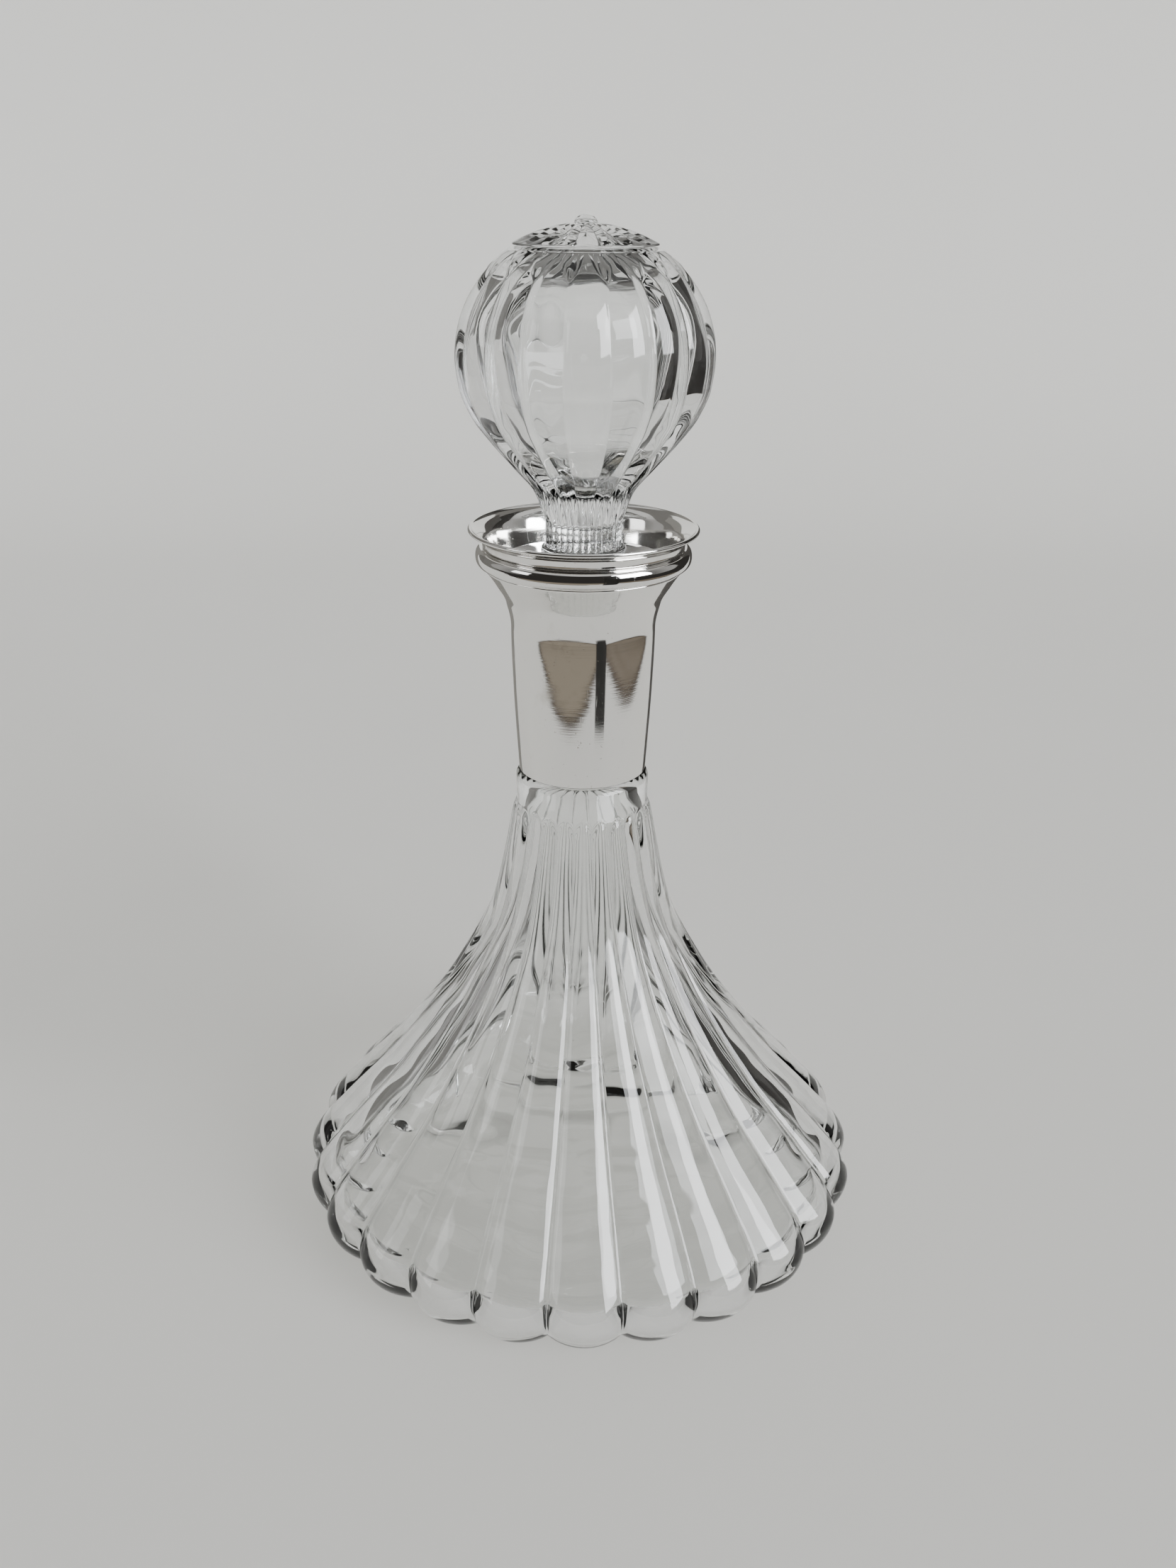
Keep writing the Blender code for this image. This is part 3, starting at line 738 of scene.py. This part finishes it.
def makeSweep(s):
    points = [(-2.5, 0.0), (-1.0, 0.0), (0.0, 0.0)]
    points += [(s["wallAt"] - s["bendRadius"] + s["bendRadius"] * math.sin(math.radians(a)),
                s["bendRadius"] - s["bendRadius"] * math.cos(math.radians(a))) for a in range(0, 91, 6)]
    points.append((s["wallAt"], 2.6))
    # a hair below the foot, because two surfaces at one height let light leak between them
    verts = [(x, y, z - s["footGap"]) for y, z in points for x in (-s["halfWidth"], s["halfWidth"])]
    faces = [(2 * i, 2 * i + 1, 2 * i + 3, 2 * i + 2) for i in range(len(points) - 1)]
    mesh = bpy.data.meshes.new("paperSweep")
    mesh.from_pydata(verts, [], faces)
    mesh.shade_smooth()
    sweep = bpy.data.objects.new("paperSweep", mesh)
    bpy.context.scene.collection.objects.link(sweep)
    material, tree, shader = newMaterial("palePaper")
    tone = noiseNode(tree, objectCoords(tree), 3.0, 3.0)
    ramp = tree.nodes.new("ShaderNodeValToRGB")
    ramp.color_ramp.elements[0].color = (*s["paperShade"], 1.0)
    ramp.color_ramp.elements[1].color = (*s["paper"], 1.0)
    tree.links.new(tone, ramp.inputs["Fac"])
    tree.links.new(ramp.outputs["Color"], shader.inputs["Base Color"])
    shader.inputs["Roughness"].default_value = 0.9
    shader.inputs["Specular IOR Level"].default_value = 0.2
    endPaper(tree, shader, s)
    mesh.materials.append(material)


def pastEdge(tree, place, edge, start, end):
    # 0 on the paper's side of an edge and 1 past it
    along = tree.nodes.new("ShaderNodeVectorMath")
    along.operation = "DOT_PRODUCT"
    along.inputs[1].default_value = (edge[0], edge[1], 0.0)
    tree.links.new(place, along.inputs[0])
    return rangeNode(tree, along.outputs["Value"], edge[2] + start, edge[2] + end, 0.0, 1.0)


def mixColours(tree, factor, first, second):
    mix = tree.nodes.new("ShaderNodeMix")
    mix.data_type = "RGBA"
    tree.links.new(factor, mix.inputs["Factor"])
    for socket, colour in ((mix.inputs[6], first), (mix.inputs[7], second)):
        if isinstance(colour, tuple):
            socket.default_value = (*colour, 1.0)
        else:
            tree.links.new(colour, socket)
    return mix.outputs[2]


def endPaper(tree, shader, s):
    # painted reflections: reflections and refractions find the paper's edges, with floorboards past them
    # fading into the dark room; all of it is painted on the paper as a glow that only gloss and glass
    # rays see
    place = tree.nodes.new("ShaderNodeNewGeometry").outputs["Position"]
    grain = noiseNode(tree, objectCoords(tree, (30.0, 2.0, 1.0)), 1.0, 3.0)
    width, soft = s["edgeWidth"], s["edgeWidth"] / 4
    edges = (s["frontEdge"], s["sideEdge"])
    past = [pastEdge(tree, place, edge, 0.0, soft) for edge in edges]
    wellPast = [pastEdge(tree, place, edge, width, width + soft) for edge in edges]
    streaks = mixColours(tree, grain, s["darkBoards"], s["boards"])
    boards = mixColours(tree, wellPast[1], s["boards"], streaks)
    away = tree.nodes.new("ShaderNodeVectorMath")
    away.operation = "LENGTH"
    tree.links.new(place, away.inputs[0])
    fade = rangeNode(tree, away.outputs["Value"], *s["boardsFade"], 0.0, 1.0)
    boards = mixColours(tree, fade, boards, s["roomDark"])
    # a painted shadow line just past each edge, then the boards
    tone = mixColours(tree, mathNode(tree, "MAXIMUM", *wellPast), s["edgeShadowLine"], boards)
    reach, top = s["paperReach"]
    parts = tree.nodes.new("ShaderNodeSeparateXYZ")
    tree.links.new(place, parts.inputs["Vector"])
    offCentre = mathNode(tree, "ABSOLUTE", parts.outputs["X"])
    aside = rangeNode(tree, offCentre, reach, reach + 0.02, 0.0, 1.0)
    above = rangeNode(tree, parts.outputs["Z"], top, top + 0.02, 0.0, 1.0)
    beyond = mathNode(tree, "MAXIMUM", aside, above)
    near = mathNode(tree, "MAXIMUM", *past)
    tone = mixColours(tree, near, s["pastPaper"], tone)
    # painted light: for reflections and refractions the paper glows brighter toward the window
    toWindow = tree.nodes.new("ShaderNodeVectorMath")
    toWindow.operation = "DOT_PRODUCT"
    toWindow.inputs[1].default_value = s["windowSide"]
    tree.links.new(place, toWindow.inputs[0])
    paintedLight = rangeNode(tree, toWindow.outputs["Value"], *s["paintedLightRise"], 0.0, s["paintedLightLift"])
    plainTone = mixColours(tree, mathNode(tree, "MAXIMUM", near, beyond), s["paintedLightTone"], tone)
    # painted reflections: these tones glow, and only gloss and glass rays see the glow
    glow = tree.nodes.new("ShaderNodeEmission")
    tree.links.new(plainTone, glow.inputs["Color"])
    path = tree.nodes.new("ShaderNodeLightPath")
    plain = mathNode(tree, "MAXIMUM", path.outputs["Is Camera Ray"], path.outputs["Is Diffuse Ray"])
    seen = mathNode(tree, "SUBTRACT", 1.0, plain)
    mix = tree.nodes.new("ShaderNodeMixShader")
    covered = mathNode(tree, "MAXIMUM", paintedLight, mathNode(tree, "MAXIMUM", near, beyond))
    tree.links.new(mathNode(tree, "MULTIPLY", seen, covered), mix.inputs["Fac"])
    tree.links.new(shader.outputs["BSDF"], mix.inputs[1])
    tree.links.new(glow.outputs["Emission"], mix.inputs[2])
    tree.links.new(mix.outputs["Shader"], tree.nodes["Material Output"].inputs["Surface"])


def makeCard(name, place, size, tone):
    # a dark upright, facing the object, which only gloss sees
    wide, tall = size
    mesh = bpy.data.meshes.new(name)
    mesh.from_pydata([(-wide / 2, 0, -tall / 2), (wide / 2, 0, -tall / 2), (wide / 2, 0, tall / 2),
                      (-wide / 2, 0, tall / 2)], [], [(0, 1, 2, 3)])
    card = bpy.data.objects.new(name, mesh)
    bpy.context.scene.collection.objects.link(card)
    card.location = place
    card.rotation_euler.z = math.atan2(place[0], -place[1])
    material, tree, shader = newMaterial(name)
    shader.inputs["Base Color"].default_value = (*tone, 1.0)
    shader.inputs["Roughness"].default_value = 0.8
    mesh.materials.append(material)
    card.visible_camera = False
    card.visible_diffuse = False
    card.visible_shadow = False
    card.visible_transmission = False


def standCards(s):
    makeCard("darkPost", s["postPlace"], s["postSize"], s["postTone"])
    # painted shade: cards that only gloss sees darken the silver's edges
    for number, card in enumerate(s["edgeCards"], 1):
        turn = math.radians(card["bearing"])
        place = (card["far"] * math.sin(turn), -card["far"] * math.cos(turn), s["cardTall"] / 2)
        makeCard("edgeCard%d" % number, place, (card["wide"], s["cardTall"]), card["tone"])
    print("dark cards stood round the silver")


def makeLamp(name, place, size, power, target):
    data = bpy.data.lights.new(name, "AREA")
    data.shape = "RECTANGLE"
    data.size, data.size_y = size
    data.energy = power
    data.color = (1.0, 0.985, 0.965)
    lamp = bpy.data.objects.new(name, data)
    lamp.location = place
    # gloss and glass see the room's window in its place
    lamp.visible_glossy = False
    lamp.visible_transmission = False
    lamp.rotation_euler = (Vector(target) - Vector(place)).to_track_quat("-Z", "Y").to_euler()
    bpy.context.scene.collection.objects.link(lamp)


def makeRoom(s):
    # round the paper: pale walls to the sides and back, a dark room in front, a ceiling, a window on
    # the right and a dimmer one on the left; light that bounces off matt surfaces finds one even tone
    world = bpy.data.worlds.new("room")
    world.use_nodes = True
    bpy.context.scene.world = world
    tree = world.node_tree
    background = tree.nodes["Background"]
    coords = tree.nodes.new("ShaderNodeTexCoord")
    split = tree.nodes.new("ShaderNodeSeparateXYZ")
    tree.links.new(coords.outputs["Generated"], split.inputs["Vector"])
    toBack = rangeNode(tree, split.outputs["Y"], -0.45, 0.15, 0.0, 1.0)
    room = mixColours(tree, toBack, s["roomDark"], s["roomBright"])
    overhead = rangeNode(tree, split.outputs["Z"], 0.62, 0.80, 0.0, 1.0)
    room = mixColours(tree, overhead, room, s["ceiling"])
    forward = mathNode(tree, "MULTIPLY", split.outputs["Y"], -1.0)
    bearing = mathNode(tree, "ARCTAN2", split.outputs["X"], forward)
    for window in s["windows"]:
        soft = math.radians(1.5)
        first, last = math.radians(window["first"]), math.radians(window["last"])
        sides = mathNode(tree, "MULTIPLY", rangeNode(tree, bearing, first, first + soft, 0.0, 1.0),
                         rangeNode(tree, bearing, last - soft, last, 1.0, 0.0))
        low, high = window["low"], window["high"]
        ends = mathNode(tree, "MULTIPLY", rangeNode(tree, split.outputs["Z"], low, low + 0.03, 0.0, 1.0),
                        rangeNode(tree, split.outputs["Z"], high - 0.03, high, 1.0, 0.0))
        room = mixColours(tree, mathNode(tree, "MULTIPLY", sides, ends), room, window["glow"])
    path = tree.nodes.new("ShaderNodeLightPath")
    lit = mixColours(tree, path.outputs["Is Diffuse Ray"], room, s["ambient"])
    tree.links.new(lit, background.inputs["Color"])
    background.inputs["Strength"].default_value = 1.0


view = {
    "away": 0.3528,
    "height": 0.2787,
    "aside": 0.0016,
    "turn": -1.58,
    "down": 23.38,
    "roll": 0.51,
    "lens": 33.1,
}


def makeCamera(v):
    data = bpy.data.cameras.new("camera")
    data.lens = v["lens"]
    data.sensor_width = 36.0
    data.clip_start = 0.01
    camera = bpy.data.objects.new("camera", data)
    bpy.context.scene.collection.objects.link(camera)
    around = Matrix.Rotation(math.radians(v["turn"]), 4, "Z")
    place = Matrix.Translation((v["aside"], -v["away"], v["height"]))
    tilt = Matrix.Rotation(math.radians(90 - v["down"]), 4, "X")
    tilt = tilt @ Matrix.Rotation(math.radians(v["roll"]), 4, "Z")
    camera.matrix_world = around @ place @ tilt
    bpy.context.scene.camera = camera


makeCamera(view)
makeBottle(bottle)
makeCollar(collar)
makeBead(collar)
dressCement(cement)
makeSleeve(sleeve)
makeBall(stopper)
makeCrown(stopper)
makeSweep(studio)
standCards(studio)
makeLamp("keyLamp", studio["keyPlace"], studio["keySize"], studio["keyPower"], (0.0, 0.0, 0.12))
makeRoom(studio)
print("floor, light and camera made")
